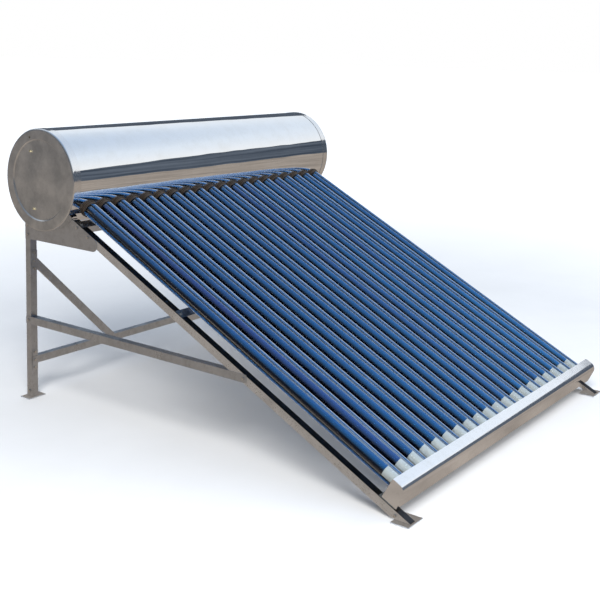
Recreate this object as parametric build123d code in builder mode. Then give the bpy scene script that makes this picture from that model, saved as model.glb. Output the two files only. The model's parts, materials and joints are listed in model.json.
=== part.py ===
"""Compact solar water heater: a horizontal insulated tank on a light angle-iron stand, fed by a bank of
double-wall evacuated glass tubes. Millimetres, +Z up, X along the tank, +Y towards the back.
The origin is on the ground, at the centre of the four anchor-bolt holes in the feet."""
from build123d import *
from math import cos, radians, sin, sqrt, tan
import os

# ---------------------------------------------------------------- fits
slip = 0.4                    # a moving tube in its rings and cup
fit = 0.2                     # fixed pieces beside each other
bolt_clearance = 0.3
cut_margin = 10.0             # by which a cut runs past what it cuts
drill_reach = 8.0             # each way from the sheet that is drilled

# ---------------------------------------------------------------- driving dimensions: tubes
tube_count = 20
tube_radius = 29.0            # outer glass, 58 mm tube
tube_gap = 17.0               # between neighbouring tubes
tube_length = 1800.0
vacuum_gap = 5.5              # from the outer glass's outside to the absorber
glass_wall = 1.6
slope = 26.0                  # of the tubes and the rails, in degrees
tube_insertion = 75.1         # from the tank's axis to the tubes' open ends, along the slope
tube_axis_drop = 14.0         # the tubes' plane passes this far under the tank's axis

# ---------------------------------------------------------------- driving dimensions: tank
shell_radius = 202.0
shell_wall = 0.8
cap_past_tubes = 66.0         # outer face of an end cap, past the outermost tube's side
cap_wall = 1.0
cap_skirt = 37.5
cap_rim_radius = 7.0
cap_panel_radius = 158.0      # the recessed middle panel of a cap
cap_panel_depth = 4.0
port_circle_radius = 114.0    # centres of the two water ports from the tank's axis
port_angle = 88.6             # of a port above or below the caps' own level line
vent_circle_radius = 123.0
vent_angle = 68.0
cap_twist = -4.5              # how far the caps' level line is turned about the tank's axis
vent_length = 22.0
vent_width = 8.0
port_mark_radius = 7.0
gland_circle_radius = 175.0
gland_angle = 71.0
gland_radius = 4.0

inner_radius = 158.0
inner_wall = 1.0
inner_past_tubes = 20.5       # end of the inner tank, past the outermost tube's side
head_flange = 12.0

nipple_radius = 13.2          # G 3/4 pipe thread, outside
nipple_neck_radius = 12.4     # the plain part inside the end cap
nipple_neck_reach = 1.0       # beyond the end cap
nipple_bore_radius = 9.5
nipple_reach = 38.0           # beyond the end cap
anode_radius = 8.0
anode_length = 300.0
anode_plug_radius = 15.0
anode_plug_length = 16.0

ring_wall = 3.6               # rubber, between a tube and its hole
ring_lip = 2.4
ring_round = 1.2
dust_ring_lip_length = 5.0
dust_ring_reach = 15.0        # of the sleeve beyond the shell
dust_ring_depth = 10.0
seal_lip_length = 3.0
seal_reach = 3.0
seal_depth = 9.0

# ---------------------------------------------------------------- driving dimensions: tail
cup_wall = 2.6
cup_depth = 32.0
cup_floor = 3.0
cup_stud_radius = 8.0
cup_stud_length = 3.5
tail_flange = 66.0
tail_lip = 15.0
tail_bolt_back = 40.0         # from the tail rail's web to its bolts
cover_rise = 14.5             # of the cover's top above the tubes
cover_drop = 7.0              # of its lower edge below the tubes
cover_reach_back = 44.0       # up the tubes from the tail rail
cover_reach_front = 11.5
cover_end_slant = 6.0
cover_radius = 27.0
cover_wall = 1.0
cover_overhang = 10.0         # past the side frames

# ---------------------------------------------------------------- driving dimensions: stand
sheet = 1.5                   # frame angle thickness
angle_width = 30.0
flange_width = 28.0
frame_past_tubes = 26.5       # outer side faces of the side frames, past the outermost tube's side
rail_clearance = 20.4         # of the rails' tops under the tubes
rail_tuck = 2.0               # of the rails' upper ends, inside the shell's radius
rail_tail = 78.8              # of the rails beyond the tail rail's inner face
leg_setback = 110.0           # of the legs behind the tank's axis
leg_gap = 10.3                # between the legs' tops and the shell

brace_z = 309.5               # underside of the side braces
beam_z = 141.0                # underside of the rear beam
beam_splice_x = 145.0
splice_length = 100.0
splice_height = 42.0
splice_corner = 20.0
splice_bolt_offset = 25.0
half_gap = 0.1                # each way from the splice to the ends of the two beam halves
knee_top_drop = 95.0          # from the cradles down to where a knee brace's lower edge meets the side frame
knee_lip = 12.0
gusset_height = 86.0
gusset_corner = 3.0
gusset_bolt_inset = 11.0      # from a gusset's upper and lower edges
knee_gusset_drop = 38.0       # of the gusset's lower edge below the knee brace's end
beam_gusset_drop = 27.0       # of the gusset's lower edge below the beam

cross_beam_width = 40.0
upper_beam_start = 16.0       # cross beams under the tubes, from the rails' upper ends
middle_beam_start = 610.0

cradle_drop = 52.0            # of the cradle's lower edge below the shell
cradle_length = 152.0         # along the rail
cradle_rake = 0.08            # lean of its front edge
cradle_corner_radius = 22.0
cradle_rail_bolt_steps = (32.0, 100.0)
cradle_leg_bolt_rises = (18.0, 55.0)
saddle_width = 26.0
saddle_wall = 1.5

foot_wall = 3.0
foot_overhang = 24.0          # outside the side frames
front_foot_length = 68.0
front_foot_width = 86.0
front_foot_lead = 2.0         # in front of the rails' tips
front_foot_bolt_back = 64.3   # from the rails' tips, along the slope
front_tab_height = 22.0
rear_foot_length = 56.0
rear_foot_width = 80.0
rear_foot_lead = 15.0         # in front of the legs
rear_foot_bolt_rise = 22.0
rear_tab_height = 36.0
foot_tab_width = 24.0
anchor_inset = 42.0           # of the anchor holes inside the side frames
front_anchor_back = 37.4      # behind the rails' tips
rear_anchor_back = 18.0       # behind the legs' front faces
anchor_radius = 5.5

bolt_radius = 3.0             # M6
bolt_head_radius = 5.8
bolt_head_length = 4.0
nut_length = 5.0
bolt_tail = 2.0
nut_thread_gap = 0.05

# ---------------------------------------------------------------- dimensions that follow
absorber_radius = tube_radius - vacuum_gap
tube_pitch = 2 * tube_radius + tube_gap
tube_xs = [(i - (tube_count - 1) / 2) * tube_pitch for i in range(tube_count)]
tubes_half_width = tube_xs[-1] + tube_radius
tank_half_length = tubes_half_width + cap_past_tubes
inner_half_length = tubes_half_width + inner_past_tubes
frame_half_width = tubes_half_width + frame_past_tubes
cover_half_length = frame_half_width + cover_overhang

tail_face = tube_insertion + tube_length + slip + cup_floor
tail_web = tail_face + sheet
rail_tip = tail_face + rail_tail
rail_start = shell_radius - rail_tuck
rail_level = -tube_axis_drop - tube_radius - rail_clearance
rail_run = rail_tip * cos(radians(slope)) + rail_level * sin(radians(slope))
anchor_y = (rail_run + leg_setback + rear_anchor_back - front_anchor_back) / 2
anchor_x = frame_half_width - anchor_inset
leg_y = anchor_y - rear_anchor_back
tank_axis_y = leg_y - leg_setback
tank_axis_z = rail_tip * sin(radians(slope)) - rail_level * cos(radians(slope))
saddle_radius = shell_radius + fit
leg_top = tank_axis_z - sqrt(saddle_radius**2 - leg_setback**2) - leg_gap
cradle_z = tank_axis_z - shell_radius - cradle_drop
knee_top_z = cradle_z - knee_top_drop

cup_radius = tube_radius + slip + cup_wall
cover_top = -tube_axis_drop + tube_radius + cover_rise
cover_bottom = -tube_axis_drop - tube_radius - cover_drop
cover_back = tail_face - cover_reach_back
cover_front = tail_face + cover_reach_front
cover_inside_radius = cover_radius - cover_wall
web_in_rounding = tail_web - (cover_front - cover_radius)
tail_top = cover_top - cover_radius + sqrt(cover_inside_radius**2 - web_in_rounding**2) - fit

hole_radius = tube_radius + slip + ring_wall + fit
hole = bolt_radius + bolt_clearance
flange_bolt_x = frame_half_width - flange_width / 2
beam_starts = [rail_start + start for start in (upper_beam_start, middle_beam_start)]
beam_distances = [start + cross_beam_width / 2 for start in beam_starts]
flange_distances = beam_distances + [tail_web - tail_bolt_back]

# ---------------------------------------------------------------- shared places and planes
SIDES = {"left": -1, "right": 1}
down_slope = Vector(0, -cos(radians(slope)), -sin(radians(slope)))
off_slope = Vector(0, -sin(radians(slope)), cos(radians(slope)))
tank_centre = Vector(0, tank_axis_y, tank_axis_z)
tank_axis = Axis(tank_centre, (1, 0, 0))
tube_bottom = tail_face - cup_floor - slip
tube_mouth = tube_bottom - tube_length


def across(distance, level=0.0, x=0.0):
    """Plane square to the slope: its x is the tank's X, its y points off the slope."""
    origin = tank_centre + down_slope * distance + off_slope * level + Vector(x, 0, 0)
    return Plane(origin=origin, x_dir=(1, 0, 0), z_dir=down_slope)


def along(x):
    """Upright plane through the slope: its x runs down the slope from the tank's axis, its normal is -X."""
    return Plane(origin=tank_centre + Vector(x, 0, 0), x_dir=down_slope, z_dir=(-1, 0, 0))


def slope_point(distance, level):
    """World (y, z) of a point on the slope's own axes."""
    place = tank_centre + down_slope * distance + off_slope * level
    return place.Y, place.Z


def slope_y(level, height):
    """World y at which a line parallel to the slope, at this level off it, passes this height."""
    return tank_axis_y - (tank_axis_z - height + level / cos(radians(slope))) / tan(radians(slope))


def radial_plane():
    """Plane through the tank's axis: its x is X and its y is the radius."""
    return Plane(origin=tank_centre, x_dir=(1, 0, 0), z_dir=(0, -1, 0))


def cap_place(radius, angle):
    """World (y, z) of a feature on the end caps, level line turned by cap_twist."""
    turned = radians(angle + cap_twist)
    return tank_axis_y + radius * cos(turned), tank_axis_z + radius * sin(turned)


def finish(piece, name):
    piece.label = name
    export_step(piece, f"parts/{name}.step")


def side_holes(places, radius, x):
    """Cuts round holes along X through the sheet near x; places are (y, z)."""
    with BuildSketch(Plane.YZ.offset(x)) as holes:
        with Locations(*places):
            Circle(radius)
    extrude(holes.sketch, amount=drill_reach, both=True, mode=Mode.SUBTRACT)


def rear_holes(places, radius, y):
    """Cuts round holes along Y through the sheet near y; places are (x, z)."""
    with BuildSketch(Plane.XZ.offset(-y)) as holes:
        with Locations(*places):
            Circle(radius)
    extrude(holes.sketch, amount=drill_reach, both=True, mode=Mode.SUBTRACT)


def slope_holes(distances, radius, level):
    """Cuts holes square to the slope through both sides' rail flanges; distances run down the slope."""
    plane = Plane(origin=tank_centre + off_slope * level, x_dir=(1, 0, 0), z_dir=off_slope)
    with BuildSketch(plane) as holes:
        with Locations(*[(side * flange_bolt_x, -s) for side in (-1, 1) for s in distances]):
            Circle(radius)
    extrude(holes.sketch, amount=drill_reach, both=True, mode=Mode.SUBTRACT)


def tube_holes(start, end, radius):
    """Cuts the row of tube holes from one distance down the slope to another."""
    with BuildSketch(across(start, -tube_axis_drop)) as holes:
        with Locations(*[(x, 0) for x in tube_xs]):
            Circle(radius)
    extrude(holes.sketch, amount=end - start, mode=Mode.SUBTRACT)


os.makedirs("parts", exist_ok=True)

port_places = [cap_place(port_circle_radius, a) for a in (port_angle, -port_angle)]
vent_places = [cap_place(vent_circle_radius, a) for a in (vent_angle, -vent_angle)]

# ---------------------------------------------------------------- tank
cap_radius = shell_radius + fit + cap_wall
shell_half_length = tank_half_length - cap_wall - cap_rim_radius
with BuildPart() as outer_shell:
    with BuildSketch(Plane.YZ.offset(-shell_half_length)):
        with Locations((tank_axis_y, tank_axis_z)):
            Circle(shell_radius)
            Circle(shell_radius - shell_wall, mode=Mode.SUBTRACT)
    extrude(amount=2 * shell_half_length)
    tube_holes(inner_radius, shell_radius + cut_margin, hole_radius)
finish(outer_shell.part, "outer_shell")


def end_cap(side):
    """Pressed cap: skirt over the shell's end, rounded rim, middle panel set in."""
    outside = side * tank_half_length
    edge = side * (tank_half_length - cap_skirt)
    panel = side * (tank_half_length - cap_panel_depth)
    wall = side * cap_wall
    bevel = cap_panel_depth
    with BuildPart() as cap:
        with BuildSketch(radial_plane()):
            with BuildLine():
                FilletPolyline(
                    (edge, cap_radius),
                    (outside, cap_radius),
                    (outside, cap_panel_radius + bevel),
                    radius=cap_rim_radius,
                )
                Polyline((outside, cap_panel_radius + bevel), (panel, cap_panel_radius), (panel, 0))
                Polyline(
                    (panel, 0),
                    (panel - wall, 0),
                    (panel - wall, cap_panel_radius + cap_wall / 2),
                    (outside - wall, cap_panel_radius + bevel + cap_wall / 2),
                )
                FilletPolyline(
                    (outside - wall, cap_panel_radius + bevel + cap_wall / 2),
                    (outside - wall, cap_radius - cap_wall),
                    (edge, cap_radius - cap_wall),
                    radius=cap_rim_radius - cap_wall,
                )
                Line((edge, cap_radius - cap_wall), (edge, cap_radius))
            make_face()
        revolve(axis=tank_axis)
        with BuildSketch(Plane.YZ.offset(panel)):
            with Locations(*vent_places):
                SlotOverall(vent_length, vent_width)
        extrude(amount=2 * cap_panel_depth, both=True, mode=Mode.SUBTRACT)
        side_holes([cap_place(gland_circle_radius, gland_angle - cap_twist)], gland_radius, outside)
        if side > 0:
            side_holes(port_places, nipple_neck_radius + fit, panel)
        else:
            with BuildSketch(Plane.YZ.offset(panel)):
                with Locations(*port_places):
                    Circle(port_mark_radius)
            extrude(amount=side * cap_wall)
    return cap.part


for side_name, side in SIDES.items():
    finish(end_cap(side), f"end_cap_{side_name}")

with BuildPart() as inner_tank:
    with BuildSketch(Plane.YZ.offset(-inner_half_length)):
        with Locations((tank_axis_y, tank_axis_z)):
            Circle(inner_radius)
            Circle(inner_radius - inner_wall, mode=Mode.SUBTRACT)
    extrude(amount=2 * inner_half_length)
    tube_holes(inner_radius / 2, inner_radius + cut_margin, hole_radius)
finish(inner_tank.part, "inner_tank")

head_radius = inner_radius - inner_wall - fit
for side_name, side in SIDES.items():
    with BuildPart() as head:
        with BuildSketch(Plane.YZ.offset(side * (inner_half_length - head_flange))):
            with Locations((tank_axis_y, tank_axis_z)):
                Circle(head_radius)
        extrude(amount=side * head_flange)
        with BuildSketch(Plane.YZ.offset(side * (inner_half_length - head_flange))):
            with Locations((tank_axis_y, tank_axis_z)):
                Circle(head_radius - inner_wall)
        extrude(amount=side * (head_flange - inner_wall), mode=Mode.SUBTRACT)
        if side > 0:
            side_holes(port_places, nipple_neck_radius + fit, inner_half_length)
            side_holes([(tank_axis_y, tank_axis_z)], anode_radius + fit, inner_half_length)
    finish(head.part, f"inner_head_{side_name}")

foam_half_length = shell_half_length - fit
with BuildPart() as foam:
    with BuildSketch(Plane.YZ.offset(-foam_half_length)):
        with Locations((tank_axis_y, tank_axis_z)):
            Circle(shell_radius - shell_wall - fit)
    extrude(amount=2 * foam_half_length)
    with BuildSketch(Plane.YZ.offset(-inner_half_length - fit)):
        with Locations((tank_axis_y, tank_axis_z)):
            Circle(inner_radius + fit)
    extrude(amount=2 * (inner_half_length + fit), mode=Mode.SUBTRACT)
    tube_holes(inner_radius / 2, shell_radius + cut_margin, hole_radius + ring_lip)
    with BuildSketch(Plane.YZ.offset(inner_half_length)):
        with Locations(*port_places):
            Circle(nipple_neck_radius + fit)
        with Locations((tank_axis_y, tank_axis_z)):
            Circle(anode_plug_radius + fit)
    extrude(amount=tank_half_length - inner_half_length, mode=Mode.SUBTRACT)
finish(foam.part, "foam_insulation")


def rubber_rings(start, end, lip_start, lip_end):
    """One ring for each tube: a sleeve in the hole and a wider lip on its outside."""
    with BuildPart() as rings:
        with BuildSketch(across(start, -tube_axis_drop)):
            with Locations(*[(x, 0) for x in tube_xs]):
                Circle(tube_radius + slip + ring_wall)
        extrude(amount=end - start)
        with BuildSketch(across(lip_start, -tube_axis_drop)):
            with Locations(*[(x, 0) for x in tube_xs]):
                Circle(tube_radius + slip + ring_wall + ring_lip)
        extrude(amount=lip_end - lip_start)
        fillet(rings.edges().filter_by(GeomType.CIRCLE).group_by(SortBy.RADIUS)[-1], ring_round)
        with BuildSketch(across(start - fit, -tube_axis_drop)):
            with Locations(*[(x, 0) for x in tube_xs]):
                Circle(tube_radius + slip)
        extrude(amount=end - start + 2 * fit, mode=Mode.SUBTRACT)
    return rings.part


dust_lip = shell_radius + fit
dust_sleeve = (dust_lip - dust_ring_depth, dust_lip + dust_ring_reach)
finish(rubber_rings(*dust_sleeve, dust_lip, dust_lip + dust_ring_lip_length), "dust_rings")
seal_lip = inner_radius + fit
seal_sleeve = (seal_lip - seal_depth, seal_lip + seal_reach)
finish(rubber_rings(*seal_sleeve, seal_lip, seal_lip + seal_lip_length), "tube_seals")

nipple_start = inner_half_length - head_flange / 2
thread_start = tank_half_length + nipple_neck_reach
for name, place in zip(("hot_outlet_nipple", "cold_inlet_nipple"), port_places):
    with BuildPart() as nipple:
        with BuildSketch(Plane.YZ.offset(nipple_start)):
            with Locations(place):
                Circle(nipple_neck_radius)
        extrude(amount=thread_start - nipple_start)
        with BuildSketch(Plane.YZ.offset(thread_start)):
            with Locations(place):
                Circle(nipple_radius)
        extrude(amount=nipple_reach - nipple_neck_reach)
        with BuildSketch(Plane.YZ.offset(nipple_start)):
            with Locations(place):
                Circle(nipple_bore_radius)
        extrude(amount=tank_half_length + nipple_reach - nipple_start, mode=Mode.SUBTRACT)
    finish(nipple.part, name)

with BuildPart() as anode:
    with BuildSketch(Plane.YZ.offset(inner_half_length - anode_length)):
        with Locations((tank_axis_y, tank_axis_z)):
            Circle(anode_radius)
    extrude(amount=anode_length)
    with BuildSketch(Plane.YZ.offset(inner_half_length)):
        with Locations((tank_axis_y, tank_axis_z)):
            RegularPolygon(anode_plug_radius, 6)
    extrude(amount=anode_plug_length)
finish(anode.part, "magnesium_anode")


# ---------------------------------------------------------------- evacuated tubes
def evacuated_tube(x):
    """Double-wall glass tube, closed and round at the bottom, open at the top, vacuum between the walls."""
    plane = Plane(
        origin=across(tube_mouth, -tube_axis_drop, x).origin,
        x_dir=down_slope,
        z_dir=(-1, 0, 0),
    )
    axis = Axis(plane.origin, down_slope)
    bore = absorber_radius - glass_wall
    vacuum = tube_radius - glass_wall
    outer_end = tube_length - tube_radius
    inner_end = outer_end - glass_wall
    with BuildPart() as tube:
        with BuildSketch(plane):
            with BuildLine():
                Line((0, bore), (0, tube_radius))
                Line((0, tube_radius), (outer_end, tube_radius))
                RadiusArc((outer_end, tube_radius), (tube_length, 0), tube_radius)
                Line((tube_length, 0), (inner_end + bore, 0))
                RadiusArc((inner_end + bore, 0), (inner_end, bore), -bore)
                Line((inner_end, bore), (0, bore))
            make_face()
        revolve(axis=axis)
        with BuildSketch(plane):
            with BuildLine():
                Line((glass_wall, absorber_radius), (glass_wall, vacuum))
                Line((glass_wall, vacuum), (outer_end, vacuum))
                RadiusArc((outer_end, vacuum), (outer_end + vacuum, 0), vacuum)
                Line((outer_end + vacuum, 0), (inner_end + absorber_radius, 0))
                RadiusArc((inner_end + absorber_radius, 0), (inner_end, absorber_radius), -absorber_radius)
                Line((inner_end, absorber_radius), (glass_wall, absorber_radius))
            make_face()
        revolve(axis=axis, mode=Mode.SUBTRACT)
    return tube.part


for number, x in enumerate(tube_xs, start=1):
    finish(evacuated_tube(x), f"evacuated_tube_{number:02d}")

# ---------------------------------------------------------------- tail: cups, rail and cover
with BuildPart() as tail_cups:
    with BuildSketch(across(tail_face, -tube_axis_drop)):
        with Locations(*[(x, 0) for x in tube_xs]):
            Circle(cup_radius)
    extrude(amount=-cup_depth)
    with BuildSketch(across(tail_face - cup_floor, -tube_axis_drop)):
        with Locations(*[(x, 0) for x in tube_xs]):
            Circle(tube_radius + slip)
    extrude(amount=-cup_depth, mode=Mode.SUBTRACT)
    with BuildSketch(across(tail_face, -tube_axis_drop)):
        with Locations(*[(x, 0) for x in tube_xs]):
            Circle(cup_stud_radius)
    extrude(amount=cup_stud_length)
finish(tail_cups.part, "tail_cups")

rail_inner_face = frame_half_width - sheet
with BuildPart() as tail_rail:
    with BuildSketch(along(0)):
        with BuildLine():
            Polyline(
                (tail_web - tail_flange, rail_level),
                (tail_web, rail_level),
                (tail_web, tail_top),
                (tail_web - tail_lip, tail_top),
                (tail_web - tail_lip, tail_top - sheet),
                (tail_face, tail_top - sheet),
                (tail_face, rail_level + sheet),
                (tail_web - tail_flange, rail_level + sheet),
                close=True,
            )
        make_face()
    extrude(amount=rail_inner_face, both=True)
    with BuildSketch(across(tail_face, -tube_axis_drop)):
        with Locations(*[(x, 0) for x in tube_xs]):
            Circle(cup_stud_radius + fit)
    extrude(amount=cut_margin, mode=Mode.SUBTRACT)
    slope_holes(flange_distances[-1:], hole, rail_level)
finish(tail_rail.part, "tail_rail")

with BuildPart() as tail_cover:
    with BuildSketch(along(0)):
        with BuildLine():
            FilletPolyline(
                (cover_back, cover_top),
                (cover_front, cover_top),
                (cover_front, cover_bottom),
                radius=cover_radius,
            )
            Polyline(
                (cover_front, cover_bottom),
                (tail_web, cover_bottom),
                (tail_web, cover_bottom + cover_wall),
                (cover_front - cover_wall, cover_bottom + cover_wall),
            )
            FilletPolyline(
                (cover_front - cover_wall, cover_bottom + cover_wall),
                (cover_front - cover_wall, cover_top - cover_wall),
                (cover_back, cover_top - cover_wall),
                radius=cover_inside_radius,
            )
            Line((cover_back, cover_top - cover_wall), (cover_back, cover_top))
        make_face()
    extrude(amount=cover_half_length - sheet - fit, both=True)
finish(tail_cover.part, "tail_cover")

for side_name, side in SIDES.items():
    with BuildPart() as cover_end:
        with BuildSketch(along(side * (cover_half_length - sheet))):
            with BuildLine():
                FilletPolyline(
                    (cover_back, cover_top),
                    (cover_front, cover_top),
                    (cover_front, cover_bottom),
                    radius=cover_radius,
                )
                Polyline(
                    (cover_front, cover_bottom),
                    (cover_back - cover_end_slant, cover_bottom),
                    (cover_back, cover_top),
                )
            make_face()
        extrude(amount=-side * sheet)
    finish(cover_end.part, f"cover_end_{side_name}")

# ---------------------------------------------------------------- bolt places, shared by the members
angle_middle = angle_width / 2
leg_bolt_y = leg_y + angle_middle
brace_bolt_z = brace_z + angle_middle
rail_y_at_brace = slope_y(rail_level - angle_middle, brace_bolt_z)
side_brace_bolts = [(leg_bolt_y, brace_bolt_z), (rail_y_at_brace, brace_bolt_z)]
rail_middle = rail_level - angle_middle
cradle_rail_bolts = [slope_point(rail_start + step, rail_middle) for step in cradle_rail_bolt_steps]
cradle_leg_bolts = [(leg_bolt_y, cradle_z + rise) for rise in cradle_leg_bolt_rises]
front_foot_bolts = [slope_point(rail_tip - front_foot_bolt_back, rail_middle)]
rear_foot_bolts = [(leg_bolt_y, foot_wall + rear_foot_bolt_rise)]

flange_middle = frame_half_width - angle_middle
beam_bolt_z = beam_z + angle_middle
beam_end_bolts = [(flange_middle, beam_bolt_z)]
beam_gusset_z = beam_z - beam_gusset_drop
knee_gusset_z = knee_top_z - knee_gusset_drop
gusset_bolt_rises = (gusset_bolt_inset, gusset_height - gusset_bolt_inset)
beam_gusset_bolts = [(flange_middle, beam_gusset_z + rise) for rise in gusset_bolt_rises]
knee_gusset_bolts = [(flange_middle, knee_gusset_z + rise) for rise in gusset_bolt_rises]
knee_reach = frame_half_width - knee_top_z      # a knee brace's lower edge runs where x - z is this
knee_middle = -knee_reach + angle_width / sqrt(2)
knee_top_bolts = [(flange_middle, flange_middle + knee_middle)]
knee_foot_bolts = [(beam_bolt_z - knee_middle, beam_bolt_z)]
splice_bolts = [(beam_splice_x + turn * splice_bolt_offset, beam_bolt_z) for turn in (-1, 1)]


def mirrored(places, side):
    """Rear-plane (x, z) places, given for the right half, moved to the asked side."""
    return [(side * x, z) for x, z in places]


# ---------------------------------------------------------------- stand: side frames
ground_cut = Plane.XY.offset(foot_wall)
leg_side_x = frame_half_width - sheet / 2
outer_layer = frame_half_width + sheet


def rail(side):
    """Sloped angle: side web outside, flange inwards under the tubes, cut level on its foot."""
    corner = side * frame_half_width
    with BuildPart() as piece:
        with BuildSketch(across(rail_start, rail_level)):
            with BuildLine():
                Polyline(
                    (corner, 0),
                    (corner, -angle_width),
                    (corner - side * sheet, -angle_width),
                    (corner - side * sheet, -sheet),
                    (corner - side * flange_width, -sheet),
                    (corner - side * flange_width, 0),
                    close=True,
                )
            make_face()
        extrude(amount=rail_tip - rail_start + cut_margin)
        split(bisect_by=ground_cut, keep=Keep.TOP)
        side_holes(cradle_rail_bolts + front_foot_bolts + side_brace_bolts[1:], hole, side * leg_side_x)
        slope_holes(flange_distances, hole, rail_level)
    return piece.part


def cross_beam(start):
    """Angle under the tubes: flange on the rails' flanges, web down between the rails."""
    end = start + cross_beam_width
    with BuildPart() as piece:
        with BuildSketch(along(0)):
            with Locations(((start + end) / 2, rail_level + sheet / 2)):
                Rectangle(cross_beam_width, sheet)
        extrude(amount=frame_half_width - 2 * sheet, both=True)
        with BuildSketch(along(0)):
            with Locations((end - sheet / 2, rail_level + sheet - angle_width / 2)):
                Rectangle(sheet, angle_width)
        extrude(amount=frame_half_width - flange_width - 2 * sheet, both=True)
        slope_holes(beam_distances, hole, rail_level)
    return piece.part


def rear_leg(side):
    """Upright angle: side web towards the back, flange inwards at the front."""
    corner = side * frame_half_width
    with BuildPart() as piece:
        with BuildSketch(ground_cut):
            with BuildLine():
                Polyline(
                    (corner, leg_y),
                    (corner, leg_y + angle_width),
                    (corner - side * sheet, leg_y + angle_width),
                    (corner - side * sheet, leg_y + sheet),
                    (corner - side * angle_width, leg_y + sheet),
                    (corner - side * angle_width, leg_y),
                    close=True,
                )
            make_face()
        extrude(amount=leg_top - foot_wall)
        side_holes(cradle_leg_bolts + rear_foot_bolts + side_brace_bolts[:1], hole, side * leg_side_x)
        rear = beam_end_bolts + beam_gusset_bolts + knee_gusset_bolts + knee_top_bolts
        rear_holes(mirrored(rear, side), hole, leg_y)
    return piece.part


def side_brace(side):
    """Level angle on the outside of leg and rail, its top flange notched clear of both."""
    outside = side * frame_half_width
    front = rail_y_at_brace - angle_width / 2
    rail_back = slope_y(rail_level - angle_width, brace_z + angle_width)
    with BuildPart() as piece:
        with BuildSketch(Plane.YZ.offset(outside)):
            with BuildLine():
                Polyline(
                    (front, brace_z),
                    (leg_y + angle_width, brace_z),
                    (leg_y + angle_width, brace_z + angle_width),
                    (front, brace_z + angle_width),
                    close=True,
                )
            make_face()
        extrude(amount=side * sheet)
        with BuildSketch(Plane.XY.offset(brace_z + angle_width - sheet)):
            with BuildLine():
                Polyline(
                    (outside, rail_back + fit),
                    (outside, leg_y - fit),
                    (outside - side * flange_width, leg_y - fit),
                    (outside - side * flange_width, rail_back + fit),
                    close=True,
                )
            make_face()
        extrude(amount=sheet)
        side_holes(side_brace_bolts, hole, outside)
    return piece.part


def cradle(side):
    """Saddle bracket: upright plate on leg and rail, curved seat under the shell."""
    outside = side * frame_half_width
    back = leg_y + angle_width - 2 * fit
    seat_front = slope_point(sqrt(saddle_radius**2 - rail_level**2), rail_level)
    seat_back = (back, tank_axis_z - sqrt(saddle_radius**2 - (back - tank_axis_y) ** 2))
    under_front = grown(seat_front, saddle_wall)
    under_back = grown(seat_back, saddle_wall)
    nose = slope_point(rail_start + cradle_length, rail_level)
    with BuildPart() as piece:
        with BuildSketch(Plane.YZ.offset(outside)):
            with BuildLine():
                FilletPolyline(
                    seat_front,
                    nose,
                    (nose[0] + (nose[1] - cradle_z) * cradle_rake, cradle_z),
                    (back, cradle_z),
                    radius=cradle_corner_radius,
                )
                Line((back, cradle_z), seat_back)
                RadiusArc(seat_back, seat_front, saddle_radius)
            make_face()
        extrude(amount=side * sheet)
        with BuildSketch(Plane.YZ.offset(outside)):
            with BuildLine():
                RadiusArc(seat_back, seat_front, saddle_radius)
                Line(seat_front, under_front)
                RadiusArc(under_front, under_back, -saddle_radius - saddle_wall)
                Line(under_back, seat_back)
            make_face()
        extrude(amount=-side * saddle_width)
        side_holes(cradle_rail_bolts + cradle_leg_bolts, hole, outside)
    return piece.part


def grown(place, amount):
    """A (y, z) place moved away from the tank's axis."""
    offset_y = place[0] - tank_axis_y
    offset_z = place[1] - tank_axis_z
    length = sqrt(offset_y**2 + offset_z**2)
    scale = (length + amount) / length
    return tank_axis_y + offset_y * scale, tank_axis_z + offset_z * scale


def foot(side, y_start, length, width, tab_y, tab_height, bolts):
    """Ground plate with an anchor hole and an upright tab inside the member's side web."""
    inside = side * rail_inner_face
    with BuildPart() as piece:
        with BuildSketch(Plane.XY):
            with Locations((side * (frame_half_width - width / 2 + foot_overhang), y_start + length / 2)):
                Rectangle(width, length)
            with Locations((side * anchor_x, (1 if y_start > 0 else -1) * anchor_y)):
                Circle(anchor_radius, mode=Mode.SUBTRACT)
        extrude(amount=foot_wall)
        with BuildSketch(Plane.YZ.offset(inside)):
            with Locations((tab_y, tab_height / 2)):
                Rectangle(foot_tab_width, tab_height)
        extrude(amount=-side * sheet)
        side_holes(bolts, hole, inside)
    return piece.part


front_foot_y = slope_y(rail_level, 0) - front_foot_lead
rear_foot_y = leg_y - rear_foot_lead
for beam_name, start in zip(("upper", "middle"), beam_starts):
    finish(cross_beam(start), f"{beam_name}_cross_beam")
for side_name, side in SIDES.items():
    finish(rail(side), f"rail_{side_name}")
    finish(rear_leg(side), f"rear_leg_{side_name}")
    finish(side_brace(side), f"side_brace_{side_name}")
    finish(cradle(side), f"cradle_{side_name}")
    front_size = (front_foot_length, front_foot_width)
    front = foot(side, front_foot_y, *front_size, front_foot_bolts[0][0], front_tab_height, front_foot_bolts)
    finish(front, f"front_foot_{side_name}")
    rear_size = (rear_foot_length, rear_foot_width)
    rear = foot(side, rear_foot_y, *rear_size, leg_bolt_y, rear_tab_height, rear_foot_bolts)
    finish(rear, f"rear_foot_{side_name}")


# ---------------------------------------------------------------- stand: rear frame
beam_front = leg_y - 2 * sheet          # the beam lies on the end gussets, which lie on the legs
knee_front = beam_front - sheet
beam_top = beam_z + angle_width


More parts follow.
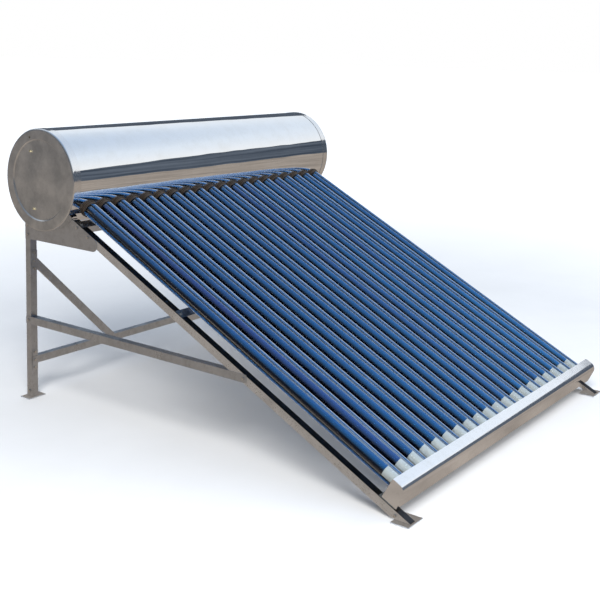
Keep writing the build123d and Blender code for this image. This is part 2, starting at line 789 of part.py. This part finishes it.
def rear_beam(side, inner_x):
    """Half of the level beam between the legs: upright face and a top flange to the back."""
    outer_x = side * (frame_half_width - 2 * sheet)
    flange_x = side * (frame_half_width - angle_width - 2 * sheet)
    bolts = mirrored(beam_end_bolts + knee_foot_bolts, side)
    bolts += [place for place in splice_bolts if side * (place[0] - beam_splice_x) > 0]
    with BuildPart() as piece:
        with BuildSketch(Plane.XZ.offset(-beam_front)):
            with BuildLine():
                Polyline(
                    (outer_x, beam_z),
                    (inner_x, beam_z),
                    (inner_x, beam_top),
                    (outer_x, beam_top),
                    close=True,
                )
            make_face()
        extrude(amount=-sheet)
        with BuildSketch(Plane.XZ.offset(-beam_front)):
            with BuildLine():
                Polyline(
                    (flange_x, beam_top - sheet),
                    (inner_x, beam_top - sheet),
                    (inner_x, beam_top),
                    (flange_x, beam_top),
                    close=True,
                )
            make_face()
        extrude(amount=-flange_width)
        rear_holes(bolts, hole, beam_front)
    return piece.part


def knee_brace(side):
    """Diagonal from leg to beam: flat face in front, narrow lip to the back along its lower edge."""
    top_x = frame_half_width - 2 * sheet
    foot_z = beam_z + 2 * sheet
    lip_x = frame_half_width - angle_width - 2 * sheet
    lip_z = beam_top + 2 * sheet
    face_rise = angle_width * sqrt(2)
    lip_rise = sheet * sqrt(2)
    with BuildPart() as piece:
        with BuildSketch(Plane.XZ.offset(-knee_front)):
            with BuildLine():
                Polyline(
                    (side * top_x, top_x - knee_reach),
                    (side * (foot_z + knee_reach), foot_z),
                    (side * (foot_z + knee_reach - face_rise), foot_z),
                    (side * top_x, top_x - knee_reach + face_rise),
                    close=True,
                )
            make_face()
        extrude(amount=-sheet)
        with BuildSketch(Plane.XZ.offset(-knee_front)):
            with BuildLine():
                Polyline(
                    (side * lip_x, lip_x - knee_reach),
                    (side * (lip_z + knee_reach), lip_z),
                    (side * (lip_z + knee_reach - lip_rise), lip_z),
                    (side * lip_x, lip_x - knee_reach + lip_rise),
                    close=True,
                )
            make_face()
        extrude(amount=-knee_lip)
        rear_holes(mirrored(knee_top_bolts + knee_foot_bolts, side), hole, knee_front)
    return piece.part


def gussets(bottom_z, front, bolts):
    """A pair of upright plates on the front flanges of the two legs."""
    outer_x = frame_half_width - 2 * sheet
    inner_x = frame_half_width - angle_width
    with BuildPart() as pair:
        with BuildSketch(Plane.XZ.offset(-front)):
            for side in SIDES.values():
                with Locations((side * (outer_x + inner_x) / 2, bottom_z + gusset_height / 2)):
                    RectangleRounded(outer_x - inner_x, gusset_height, gusset_corner)
        extrude(amount=front - leg_y)
        rear_holes(mirrored(bolts, 1) + mirrored(bolts, -1), hole, leg_y)
    return pair.part


finish(rear_beam(-1, beam_splice_x - half_gap), "rear_beam_left")
finish(rear_beam(1, beam_splice_x + half_gap), "rear_beam_right")
for side_name, side in SIDES.items():
    finish(knee_brace(side), f"knee_brace_{side_name}")
finish(gussets(beam_gusset_z, leg_y - sheet, beam_gusset_bolts + beam_end_bolts), "beam_gussets")
finish(gussets(knee_gusset_z, beam_front, knee_gusset_bolts + knee_top_bolts), "knee_gussets")

with BuildPart() as splice:
    with BuildSketch(Plane.XZ.offset(-knee_front)) as outline:
        with Locations((beam_splice_x, beam_z + splice_height / 2)):
            Rectangle(splice_length, splice_height)
        fillet(outline.vertices().group_by(Axis.Z)[-1].sort_by(Axis.X)[:1], splice_corner)
    extrude(amount=-sheet)
    rear_holes(splice_bolts, hole, knee_front)
finish(splice.part, "beam_splice_plate")

# ---------------------------------------------------------------- stand: bolts and nuts
# Along X: places in (y, z), then the x where the head bears and the x where the nut bears.
side_joints = [
    (side_brace_bolts, outer_layer, rail_inner_face),
    (cradle_rail_bolts, outer_layer, rail_inner_face),
    (cradle_leg_bolts, outer_layer, rail_inner_face),
    (front_foot_bolts, frame_half_width, rail_inner_face - sheet),
    (rear_foot_bolts, frame_half_width, rail_inner_face - sheet),
]
leg_flange_back = leg_y + sheet
# Along Y: places in (x, z) of the right half, the halves to fill, then the y of head and of nut.
rear_joints = [
    (beam_end_bolts, (1, -1), beam_front, leg_flange_back),
    (beam_gusset_bolts, (1, -1), leg_y - sheet, leg_flange_back),
    (knee_gusset_bolts, (1, -1), beam_front, leg_flange_back),
    (knee_top_bolts, (1, -1), knee_front, leg_flange_back),
    (knee_foot_bolts, (1, -1), knee_front, beam_front + sheet),
    (splice_bolts, (1,), knee_front, beam_front + sheet),
]
fastener_rows = []
for places, head_face, nut_face in side_joints:
    for side in SIDES.values():
        for y, z in places:
            out = Vector(side, 0, 0)
            fastener_rows.append((Vector(side * head_face, y, z), out, head_face - nut_face))
for places, sides, head_face, nut_face in rear_joints:
    for side in sides:
        for x, z in mirrored(places, side):
            out = Vector(0, -1, 0)
            fastener_rows.append((Vector(x, head_face, z), out, nut_face - head_face))
for distance in flange_distances:
    for side in SIDES.values():
        top = across(distance, rail_level + sheet, side * flange_bolt_x).origin
        fastener_rows.append((top, off_slope, 2 * sheet))

with BuildPart() as frame_bolts:
    for place, out, grip in fastener_rows:
        with BuildSketch(Plane(origin=place, z_dir=out)):
            RegularPolygon(bolt_head_radius, 6)
        extrude(amount=bolt_head_length)
        with BuildSketch(Plane(origin=place, z_dir=out)):
            Circle(bolt_radius)
        extrude(amount=-(grip + nut_length + bolt_tail))
finish(frame_bolts.part, "frame_bolts")

with BuildPart() as frame_nuts:
    for place, out, grip in fastener_rows:
        with BuildSketch(Plane(origin=place - out * grip, z_dir=out)):
            RegularPolygon(bolt_head_radius, 6)
            Circle(bolt_radius + nut_thread_gap, mode=Mode.SUBTRACT)
        extrude(amount=-nut_length)
finish(frame_nuts.part, "frame_nuts")
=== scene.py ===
import json
import math

import bpy
from mathutils import Matrix, Vector


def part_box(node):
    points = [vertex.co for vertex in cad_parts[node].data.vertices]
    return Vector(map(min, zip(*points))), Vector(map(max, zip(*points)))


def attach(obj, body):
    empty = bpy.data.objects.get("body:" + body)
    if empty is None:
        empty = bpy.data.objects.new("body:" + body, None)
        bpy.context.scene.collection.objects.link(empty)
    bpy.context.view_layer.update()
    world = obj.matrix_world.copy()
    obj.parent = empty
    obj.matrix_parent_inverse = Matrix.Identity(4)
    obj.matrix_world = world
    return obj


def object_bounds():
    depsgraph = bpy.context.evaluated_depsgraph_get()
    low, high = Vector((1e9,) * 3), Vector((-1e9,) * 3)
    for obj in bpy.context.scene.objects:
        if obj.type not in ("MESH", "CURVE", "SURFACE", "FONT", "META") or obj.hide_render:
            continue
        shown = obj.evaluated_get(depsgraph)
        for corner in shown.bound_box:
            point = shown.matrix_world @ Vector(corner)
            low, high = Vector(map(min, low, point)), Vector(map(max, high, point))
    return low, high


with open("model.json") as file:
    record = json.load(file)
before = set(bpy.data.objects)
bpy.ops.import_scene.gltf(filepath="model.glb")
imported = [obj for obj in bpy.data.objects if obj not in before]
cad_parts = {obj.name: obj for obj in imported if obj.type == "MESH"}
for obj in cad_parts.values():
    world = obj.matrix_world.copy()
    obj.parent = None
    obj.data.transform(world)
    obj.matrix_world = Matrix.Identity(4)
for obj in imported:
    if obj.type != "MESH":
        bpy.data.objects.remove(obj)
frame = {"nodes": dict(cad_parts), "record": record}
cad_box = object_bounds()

# ---------------------------------------------------------------- sizes, in metres
SLOPE = math.radians(26.0)
DOWN = Vector((0.0, -math.cos(SLOPE), -math.sin(SLOPE)))
OFF = Vector((0.0, -math.sin(SLOPE), math.cos(SLOPE)))
ACROSS = Vector((1.0, 0.0, 0.0))
TUBE_RADIUS = 0.029
TUBE_PITCH = 0.075
COATING_RADIUS = 0.0237
FILM_RADIUS = 0.0272
COATING_STOPS = (1.7350, 1.2, 0.6, 0.0580)      # above the centre of the tube's round end
FILM_TOP = 0.0660
RING_STEPS = 64
ROUND_END_ROWS = 10
DISC_STEPS = 96
WALL_STEPS = 144
DISC_HOLE = 0.001
FLOOR_RADIUS = 60.0
FLOOR_HEIGHT = -0.0005
SURROUND = 9.0                # radius of what shows only in reflections
REFLECTION_HEIGHT = 0.004
HORIZON_HEIGHT = 0.55

scene = bpy.context.scene
scene.view_settings.view_transform = "Standard"
scene.view_settings.look = "None"


# ---------------------------------------------------------------- material helpers
class Paint:
    """A node material with one shader, and short calls that add to it."""

    def __init__(self, name):
        self.material = bpy.data.materials.new(name)
        self.material.use_nodes = True
        self.tree = self.material.node_tree
        self.shader = self.tree.nodes["Principled BSDF"]
        self.output = self.tree.nodes["Material Output"]
        self.coords = None
        self.normal = None

    def node(self, kind, **settings):
        made = self.tree.nodes.new(kind)
        for key, value in settings.items():
            setattr(made, key, value)
        return made

    def link(self, source, target):
        self.tree.links.new(source, target)

    def feed(self, socket, value):
        """Give a socket a number or a colour, or link another node's output to it."""
        if isinstance(value, tuple):
            socket.default_value = (*value, 1.0)
        elif isinstance(value, (int, float)):
            socket.default_value = value
        else:
            self.link(value, socket)

    def place(self, stretch=(1.0, 1.0, 1.0)):
        if self.coords is None:
            self.coords = self.node("ShaderNodeTexCoord").outputs["Object"]
        mapping = self.node("ShaderNodeMapping")
        mapping.inputs["Scale"].default_value = stretch
        self.link(self.coords, mapping.inputs["Vector"])
        return mapping.outputs["Vector"]

    def noise(self, scale, detail, stretch=(1.0, 1.0, 1.0), roughness=0.55):
        made = self.node("ShaderNodeTexNoise")
        made.inputs["Scale"].default_value = scale
        made.inputs["Detail"].default_value = detail
        made.inputs["Roughness"].default_value = roughness
        self.link(self.place(stretch), made.inputs["Vector"])
        return made.outputs["Fac"]

    def span(self, source, low, high, start=0.3, end=0.7):
        made = self.node("ShaderNodeMapRange")
        made.inputs["From Min"].default_value = start
        made.inputs["From Max"].default_value = end
        made.inputs["To Min"].default_value = low
        made.inputs["To Max"].default_value = high
        self.link(source, made.inputs["Value"])
        return made.outputs["Result"]

    def mix(self, factor, first, second):
        made = self.node("ShaderNodeMix", data_type="RGBA")
        self.link(factor, made.inputs["Factor"])
        self.feed(made.inputs[6], first)
        self.feed(made.inputs[7], second)
        return made.outputs[2]

    def math(self, operation, *values):
        made = self.node("ShaderNodeMath", operation=operation)
        for socket, value in zip(made.inputs, values):
            self.feed(socket, value)
        return made.outputs[0]

    def blend(self, factor, first, second):
        """Two shader nodes into one."""
        made = self.node("ShaderNodeMixShader")
        self.link(factor, made.inputs["Fac"])
        self.link(first.outputs[0], made.inputs[1])
        self.link(second.outputs[0], made.inputs[2])
        return made

    def show(self, shader):
        """Show this shader node in place of the principled one."""
        self.link(shader.outputs[0], self.output.inputs["Surface"])
        self.tree.nodes.remove(self.shader)

    def colour(self, source):
        self.link(source, self.shader.inputs["Base Color"])

    def roughness(self, source):
        self.link(source, self.shader.inputs["Roughness"])

    def bump(self, height, distance, strength=1.0):
        made = self.node("ShaderNodeBump")
        made.inputs["Strength"].default_value = strength
        made.inputs["Distance"].default_value = distance
        self.link(height, made.inputs["Height"])
        if self.normal is not None:
            self.link(self.normal, made.inputs["Normal"])
        self.normal = made.outputs["Normal"]
        self.link(self.normal, self.shader.inputs["Normal"])

    def set(self, **values):
        names = {"metallic": "Metallic", "specular": "Specular IOR Level"}
        for key, value in values.items():
            self.shader.inputs[names[key]].default_value = value


def steel(name, clean, worn, smooth, rough, grain=(1.0, 1.0, 1.0), grain_scale=900.0, grain_depth=0.00002,
          wave=0.0, wave_stretch=(1.0, 1.0, 1.0), wave_scale=4.0, smudge_scale=9.0):
    """Sheet or bar steel: grain, slow waves of the sheet, smudges and noise-placed stains of a worn tone.
    """
    paint = Paint(name)
    paint.set(metallic=1.0)
    smudge = paint.noise(smudge_scale, 6.0, roughness=0.62)
    scratch = paint.noise(grain_scale, 3.0, grain)
    stain = paint.span(paint.noise(smudge_scale * 3.1, 8.0, roughness=0.7), 0.0, 1.0, 0.45, 0.8)
    paint.colour(paint.mix(stain, clean, worn))
    blend = paint.math("ADD", paint.math("MULTIPLY", smudge, 0.6), paint.math("MULTIPLY", scratch, 0.4))
    paint.roughness(paint.span(blend, smooth, rough, 0.35, 0.65))
    if wave:
        paint.bump(paint.noise(wave_scale, 2.0, wave_stretch, roughness=0.4), wave)
    if grain_depth:
        paint.bump(scratch, grain_depth, 0.6)
    return paint.material


def plain(name, first, second, scale, smooth, rough, depth, **settings):
    """Moulded or cast material with a two-tone mottle and a fine skin."""
    paint = Paint(name)
    paint.set(**settings)
    mottle = paint.noise(scale, 6.0, roughness=0.6)
    skin = paint.noise(scale * 14.0, 3.0)
    paint.colour(paint.mix(paint.span(mottle, 0.0, 1.0), first, second))
    paint.roughness(paint.span(skin, smooth, rough))
    paint.bump(skin, depth, 0.7)
    return paint.material


# ---------------------------------------------------------------- materials of the slots
def shell_steel():
    return steel(
        "polished_shell_look", (0.90, 0.91, 0.92), (0.84, 0.84, 0.83), 0.012, 0.045,
        grain=(0.06, 1.0, 1.0), grain_depth=0.000001, wave=0.0016, wave_stretch=(0.8, 2.2, 2.2),
        wave_scale=4.0, smudge_scale=5.0,
    )


def facing(paint, direction, low, high):
    """0 to 1 as the surface turns towards a direction of the object's own axes."""
    geometry = paint.node("ShaderNodeNewGeometry")
    dot = paint.node("ShaderNodeVectorMath", operation="DOT_PRODUCT")
    paint.link(geometry.outputs["Normal"], dot.inputs[0])
    dot.inputs[1].default_value = direction
    return paint.span(paint.math("ABSOLUTE", dot.outputs["Value"]), 0.0, 1.0, low, high)


def cap_steel():
    """Satin face with cloudy marks from the press, and a polished skirt."""
    paint = Paint("brushed_cap_look")
    paint.set(metallic=1.0)
    face = facing(paint, (1.0, 0.0, 0.0), 0.4, 0.9)
    cloud = paint.noise(14.0, 7.0, roughness=0.65)
    grain = paint.noise(500.0, 3.0, (1.0, 1.0, 0.06))
    dull = paint.mix(paint.span(cloud, 0.0, 1.0, 0.35, 0.65), (0.76, 0.77, 0.77), (0.56, 0.57, 0.57))
    paint.colour(paint.mix(face, (0.86, 0.86, 0.86), dull))
    satin = paint.span(cloud, 0.34, 0.50)
    polish = paint.span(grain, 0.07, 0.16)
    spread = paint.math("ADD", paint.math("MULTIPLY", satin, face),
                        paint.math("MULTIPLY", polish, paint.math("SUBTRACT", 1.0, face)))
    paint.roughness(spread)
    paint.bump(paint.noise(9.0, 3.0), 0.0022)
    paint.bump(grain, 0.00002, 0.6)
    return paint.material


def cover_steel():
    return steel(
        "polished_cover_look", (0.97, 0.98, 1.0), (0.90, 0.91, 0.92), 0.06, 0.17,
        grain=(0.05, 1.0, 1.0), grain_depth=0.000006, wave=0.0006, wave_stretch=(1.0, 3.0, 3.0),
        wave_scale=5.0,
    )


def frame_steel():
    return steel(
        "frame_steel_look", (0.60, 0.63, 0.67), (0.42, 0.44, 0.46), 0.24, 0.42,
        grain=(0.5, 0.5, 0.5), grain_depth=0.00001, wave=0.0005, wave_scale=14.0,
    )


def rail_steel():
    """Like the rest of the stand, with a painted dark reflection of the tubes above on the flange that
    faces up under them.
    """
    paint = Paint("rail_steel_look")
    paint.set(metallic=1.0)
    flange = facing(paint, tuple(OFF), 0.7, 0.95)
    cloud = paint.noise(16.0, 6.0, roughness=0.65)
    web = paint.mix(paint.span(cloud, 0.0, 1.0), (0.92, 0.95, 0.98), (0.72, 0.74, 0.76))
    # Painted reflection: the flange that faces up is painted near black, standing in for the dark tubes it
    # reflects.
    painted_tube_reflection = paint.mix(paint.span(cloud, 0.0, 1.0), (0.030, 0.033, 0.040), (0.075, 0.078, 0.085))
    paint.colour(paint.mix(flange, web, painted_tube_reflection))
    paint.roughness(paint.span(paint.noise(300.0, 3.0), 0.24, 0.44))
    paint.bump(cloud, 0.0004, 0.6)
    return paint.material


def glass():
    """Thin clear glass, more mirror-like at a glancing angle, with a painted rim (a painted blue reflection
    of the coating grading to a painted pale highlight at the very edge) and faint dust.
    """
    paint = Paint("tube_glass_look")
    fresnel = paint.node("ShaderNodeFresnel")
    fresnel.inputs["IOR"].default_value = 1.47
    clear = paint.node("ShaderNodeBsdfTransparent")
    clear.inputs["Color"].default_value = (0.955, 0.975, 0.97, 1.0)
    mirror = paint.node("ShaderNodeBsdfGlossy")
    dust = paint.noise(30.0, 8.0, roughness=0.7)
    paint.link(paint.span(dust, 0.015, 0.06), mirror.inputs["Roughness"])
    film = paint.node("ShaderNodeBsdfDiffuse")
    film.inputs["Color"].default_value = (0.55, 0.54, 0.5, 1.0)
    edge = paint.node("ShaderNodeLayerWeight")
    edge.inputs["Blend"].default_value = 0.5
    # Painted reflection and highlight: a diffuse rim at the tube's edges, painted blue for the coating seen
    # mirrored in the glass and pale at the very edge for a sky highlight.
    painted_rim_reflection = paint.node("ShaderNodeBsdfDiffuse")
    pale = paint.span(edge.outputs["Facing"], 0.0, 1.0, 0.60, 0.88)
    paint.link(paint.mix(pale, (0.035, 0.13, 0.33), (0.66, 0.72, 0.80)), painted_rim_reflection.inputs["Color"])
    sheen = paint.blend(fresnel.outputs[0], clear, mirror)
    rim = paint.blend(paint.span(edge.outputs["Facing"], 0.0, 0.60, 0.36, 0.50), sheen, painted_rim_reflection)
    dusted = paint.blend(paint.span(dust, 0.0, 0.004, 0.4, 0.8), rim, film)
    bump = paint.node("ShaderNodeBump")
    bump.inputs["Strength"].default_value = 0.4
    bump.inputs["Distance"].default_value = 0.00002
    paint.link(paint.noise(22.0, 2.0), bump.inputs["Height"])
    paint.link(bump.outputs["Normal"], mirror.inputs["Normal"])
    paint.show(dusted)
    return paint.material


def coating():
    """Blue coating on the inner glass: tubes differ a little in hue, painted light makes the row lighter
    towards its lower right, and painted shade makes the flanks near black where neighbouring tubes shade
    them.
    """
    paint = Paint("absorber_coating_look")
    paint.set(metallic=0.85)
    axes = paint.node("ShaderNodeSeparateXYZ")
    paint.link(paint.place(), axes.inputs[0])
    number = paint.math("ROUND", paint.math("MULTIPLY_ADD", axes.outputs["X"], 1.0 / TUBE_PITCH, 0.5))
    which = paint.node("ShaderNodeTexWhiteNoise", noise_dimensions="1D")
    paint.link(number, which.inputs["W"])
    drift = paint.noise(2.2, 3.0)
    hue = paint.math("ADD", paint.math("MULTIPLY", which.outputs["Value"], 0.7),
                     paint.math("MULTIPLY", drift, 0.4))
    tint = paint.mix(paint.span(hue, 0.0, 1.0, 0.60, 0.98), (0.014, 0.180, 0.50), (0.075, 0.105, 0.43))
    # Painted light: the coating is mixed to a lighter blue towards the lower right of the row, for the
    # light the tubes catch there.
    lower = paint.math("SUBTRACT", paint.math("MULTIPLY", axes.outputs["X"], 0.7),
                       paint.math("MULTIPLY", axes.outputs["Z"], 0.9))
    painted_light_lower_right = paint.math("MULTIPLY", paint.span(lower, 0.0, 0.95, -0.95, 0.25), paint.span(drift, 0.45, 1.0))
    tint = paint.mix(painted_light_lower_right, tint, (0.075, 0.40, 0.86))
    streak = paint.noise(60.0, 5.0, (1.0, 0.05, 0.05))
    streaked = paint.mix(paint.span(streak, 0.0, 0.18), tint, (0.010, 0.045, 0.2))
    # Painted shade: where the coating turns away from the tube's upward side it is painted near black, for
    # the shade between neighbouring tubes.
    flank_shade_mix = facing(paint, tuple(OFF), 0.40, 0.64)
    paint.colour(paint.mix(flank_shade_mix, (0.001, 0.003, 0.02), streaked))
    paint.roughness(paint.span(streak, 0.14, 0.20))
    paint.bump(paint.noise(160.0, 3.0), 0.000004)
    return paint.material


def getter_film():
    """Blotched silver film on the inside of the outer glass at the closed end."""
    paint = Paint("getter_film_look")
    paint.set(metallic=0.4)
    blotch = paint.noise(70.0, 6.0, roughness=0.6)
    paint.colour(paint.mix(paint.span(blotch, 0.0, 1.0), (0.94, 0.95, 0.95), (0.80, 0.82, 0.84)))
    paint.roughness(paint.span(blotch, 0.10, 0.30))
    paint.bump(blotch, 0.0006, 0.8)
    return paint.material


looks = {
    "polished_shell": shell_steel(),
    "brushed_cap": cap_steel(),
    "polished_cover": cover_steel(),
    "frame_steel": frame_steel(),
    "tank_steel": steel("tank_steel_look", (0.66, 0.66, 0.65), (0.52, 0.5, 0.47), 0.22, 0.4),
    "bolt_steel": steel("bolt_steel_look", (0.70, 0.70, 0.68), (0.45, 0.42, 0.38), 0.18, 0.36,
                        grain_scale=1500.0, smudge_scale=60.0),
    "anode_magnesium": steel("anode_look", (0.55, 0.55, 0.54), (0.4, 0.4, 0.38), 0.4, 0.6),
    "tube_glass": glass(),
    "insulation_foam": plain("foam_look", (0.85, 0.76, 0.50), (0.76, 0.65, 0.40),
                             60.0, 0.75, 0.95, 0.0006),
    "black_rubber": plain("rubber_look", (0.020, 0.015, 0.011), (0.045, 0.033, 0.024),
                          45.0, 0.28, 0.5, 0.00012, specular=0.6),
    "pale_plastic": plain("cup_look", (0.74, 0.73, 0.70), (0.64, 0.63, 0.60), 30.0, 0.35, 0.55, 0.0001),
}
slots = {part["node"]: part["material_slot"] for part in frame["record"]["subparts"]}
rails = rail_steel()
for name, node in frame["nodes"].items():
    if not node.data.materials:
        node.data.materials.append(None)
    for index in range(len(node.data.materials)):
        node.material_slots[index].material = rails if name.startswith("rail_") else looks[slots[name]]


# ---------------------------------------------------------------- coatings and films of the tubes
def surface(name, rings, material):
    """A smooth open surface through rings of points."""
    points = [point for ring in rings for point in ring]
    steps = len(rings[0])
    faces = []
    for row in range(len(rings) - 1):
        for step in range(steps):
            after = (step + 1) % steps
            here, above = row * steps, (row + 1) * steps
            faces.append((here + step, here + after, above + after, above + step))
    mesh = bpy.data.meshes.new(name)
    mesh.from_pydata(points, [], faces)
    mesh.shade_smooth()
    mesh.materials.append(material)
    made = bpy.data.objects.new(name, mesh)
    scene.collection.objects.link(made)
    return made


def ring(centre, radius):
    """Points round the tube's axis."""
    turns = [2.0 * math.pi * step / RING_STEPS for step in range(RING_STEPS)]
    return [centre + (ACROSS * math.cos(turn) + OFF * math.sin(turn)) * radius for turn in turns]


def round_end(centre, radius):
    """Rings over the lower half sphere, from its rim to near its pole."""
    rings = []
    for row in range(ROUND_END_ROWS):
        turn = 0.5 * math.pi * row / ROUND_END_ROWS
        rings.append(ring(centre + DOWN * (radius * math.sin(turn)), radius * math.cos(turn)))
    return rings


blue = coating()
silver = getter_film()
for name in sorted(name for name in frame["nodes"] if name.startswith("evacuated_tube_")):
    low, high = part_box(name)
    end = Vector(((low[0] + high[0]) / 2, low[1] + TUBE_RADIUS, low[2] + TUBE_RADIUS))
    body = name.replace("evacuated_", "")
    coat_rings = [ring(end - DOWN * stop, COATING_RADIUS) for stop in COATING_STOPS]
    coat = surface(f"{body}_coating", coat_rings, blue)
    film_rings = [ring(end - DOWN * stop, FILM_RADIUS) for stop in (FILM_TOP, FILM_TOP / 2)]
    film = surface(f"{body}_getter_film", film_rings + round_end(end, FILM_RADIUS), silver)
    for piece in (coat, film):
        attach(piece, body)


# ---------------------------------------------------------------- floor, reflections and light
def level_ring(radius, height, steps):
    """Points round the vertical, where the height may depend on the direction."""
    turns = [2 * math.pi * i / steps for i in range(steps)]
    return [Vector((radius * math.cos(turn), radius * math.sin(turn), height(turn))) for turn in turns]


def stage_disc(name, radius, height, material):
    """Flat disc on the ground."""
    rings = [level_ring(reach, lambda turn: height, DISC_STEPS) for reach in (DISC_HOLE, radius)]
    made = surface(name, rings, material)
    return made


def card(name, first, second, scale, stretch=(1.0, 1.0, 1.0)):
    """Surroundings that show only in reflections."""
    paint = Paint(name)
    glow = paint.node("ShaderNodeEmission")
    glow.inputs["Strength"].default_value = 1.0
    mottle = paint.span(paint.noise(scale, 6.0, stretch), 0.0, 1.0, 0.35, 0.65)
    paint.link(paint.mix(mottle, first, second), glow.inputs["Color"])
    paint.show(glow)
    return paint.material


def reflections_only(made):
    made.visible_camera = False
    made.visible_diffuse = False
    made.visible_shadow = False
    made.visible_transmission = False
    made.visible_volume_scatter = False


def floor_paint():
    """Pale floor that grows into the white surroundings further out."""
    paint = Paint("floor_look")
    paint.set(specular=0.15)
    mottle = paint.noise(3.0, 5.0)
    paint.colour(paint.mix(paint.span(mottle, 0.0, 1.0), (0.90, 0.90, 0.90), (0.87, 0.87, 0.87)))
    paint.roughness(paint.span(mottle, 0.8, 0.9))
    length = paint.node("ShaderNodeVectorMath", operation="LENGTH")
    paint.link(paint.place(), length.inputs[0])
    paint.shader.inputs["Emission Color"].default_value = (1.0, 1.0, 1.0, 1.0)
    glow = paint.span(length.outputs["Value"], 0.0, 0.6, 2.2, 6.0)
    paint.link(glow, paint.shader.inputs["Emission Strength"])
    return paint.material


stage_disc("floor", FLOOR_RADIUS, FLOOR_HEIGHT, floor_paint())

tan_tones = ((0.42, 0.365, 0.32), (0.28, 0.245, 0.215))
slate_tones = ((0.045, 0.060, 0.085), (0.130, 0.155, 0.195))
ground_look = card("ground_look", *tan_tones, 2.2)
slate_look = card("slate_look", *slate_tones, 0.55, stretch=(1.0, 1.0, 3.0))
reflections_only(stage_disc("ground_reflection", SURROUND, REFLECTION_HEIGHT, ground_look))


def skyline_top(turn):
    """Higher behind the tank than in front of the tubes."""
    rise = 1.5 * max(0.0, math.sin(turn + 0.6))
    return 3.9 + rise + 0.25 * math.sin(7.0 * turn) + 0.12 * math.sin(17.0 * turn + 1.0)


def wall(name, bottoms, tops, material):
    rings = [level_ring(SURROUND, height, WALL_STEPS) for height in (bottoms, tops)]
    made = surface(name, rings, material)
    reflections_only(made)


wall("low_surroundings", lambda turn: REFLECTION_HEIGHT, lambda turn: HORIZON_HEIGHT, ground_look)
wall("skyline", lambda turn: HORIZON_HEIGHT, skyline_top, slate_look)

world = bpy.data.worlds.new("studio")
world.use_nodes = True
scene.world = world
tree = world.node_tree
back = tree.nodes["Background"]
coords = tree.nodes.new("ShaderNodeTexCoord")
axes = tree.nodes.new("ShaderNodeSeparateXYZ")
ramp = tree.nodes.new("ShaderNodeValToRGB")
tree.links.new(coords.outputs["Generated"], axes.inputs[0])
tree.links.new(axes.outputs["Z"], ramp.inputs["Fac"])
side = tree.nodes.new("ShaderNodeMapRange")
side.inputs["From Min"].default_value = -0.75
side.inputs["From Max"].default_value = 0.05
side.inputs["To Min"].default_value = 0.22
side.inputs["To Max"].default_value = 1.0
tree.links.new(axes.outputs["X"], side.inputs["Value"])
shade = tree.nodes.new("ShaderNodeVectorMath")
shade.operation = "SCALE"
tree.links.new(ramp.outputs["Color"], shade.inputs[0])
tree.links.new(side.outputs["Result"], shade.inputs["Scale"])
tree.links.new(shade.outputs["Vector"], back.inputs["Color"])
ramp.color_ramp.elements[0].position = 0.22
ramp.color_ramp.elements[0].color = (1.0, 1.0, 1.0, 1.0)
ramp.color_ramp.elements[1].position = 0.98
ramp.color_ramp.elements[1].color = (0.36, 0.49, 0.70, 1.0)
middle_sky = ramp.color_ramp.elements.new(0.6)
middle_sky.color = (0.80, 0.88, 0.98, 1.0)
back.inputs["Strength"].default_value = 1.0


def soft_light(name, place, aim, size, power, tint):
    data = bpy.data.lights.new(name, "AREA")
    data.shape = "RECTANGLE"
    data.size = size
    data.size_y = size
    data.energy = power
    data.color = tint
    lamp = bpy.data.objects.new(name, data)
    lamp.location = place
    lamp.rotation_euler = (Vector(aim) - Vector(place)).to_track_quat("-Z", "Y").to_euler()
    lamp.visible_glossy = False
    scene.collection.objects.link(lamp)


centre = (Vector(cad_box[0]) + Vector(cad_box[1])) / 2
soft_light("key", (-4.5, -3.0, 5.5), centre, 3.0, 470.0, (1.0, 0.985, 0.96))
soft_light("fill", (3.5, -4.5, 3.5), centre, 3.5, 90.0, (0.94, 0.97, 1.0))

# ---------------------------------------------------------------- camera
AZIMUTH = math.radians(-56.2665)
ELEVATION = math.radians(6.7458)
ROLL = math.radians(1.7033)
CAMERA_PLACE = (-3.3336, -2.4904, 1.4863)
SENSOR_WIDTH = 36.0           # mm
FOCAL_LENGTH = 60.69          # mm
SHIFT_X, SHIFT_Y = -0.1283, -0.2283
back_axis = Vector((math.sin(AZIMUTH) * math.cos(ELEVATION), -math.cos(AZIMUTH) * math.cos(ELEVATION),
                    math.sin(ELEVATION)))
right = Vector((math.cos(AZIMUTH), math.sin(AZIMUTH), 0.0))
up = back_axis.cross(right)
right_axis = right * math.cos(ROLL) + up * math.sin(ROLL)
up_axis = up * math.cos(ROLL) - right * math.sin(ROLL)
camera_data = bpy.data.cameras.new("camera")
camera_data.sensor_width = SENSOR_WIDTH
camera_data.lens = FOCAL_LENGTH
camera_data.shift_x = SHIFT_X
camera_data.shift_y = SHIFT_Y
camera_data.clip_end = 200.0
camera_data.dof.use_dof = False
camera = bpy.data.objects.new("camera", camera_data)
turned = Matrix((right_axis, up_axis, back_axis)).transposed()
camera.matrix_world = Matrix.Translation(CAMERA_PLACE) @ turned.to_4x4()
scene.collection.objects.link(camera)
scene.camera = camera
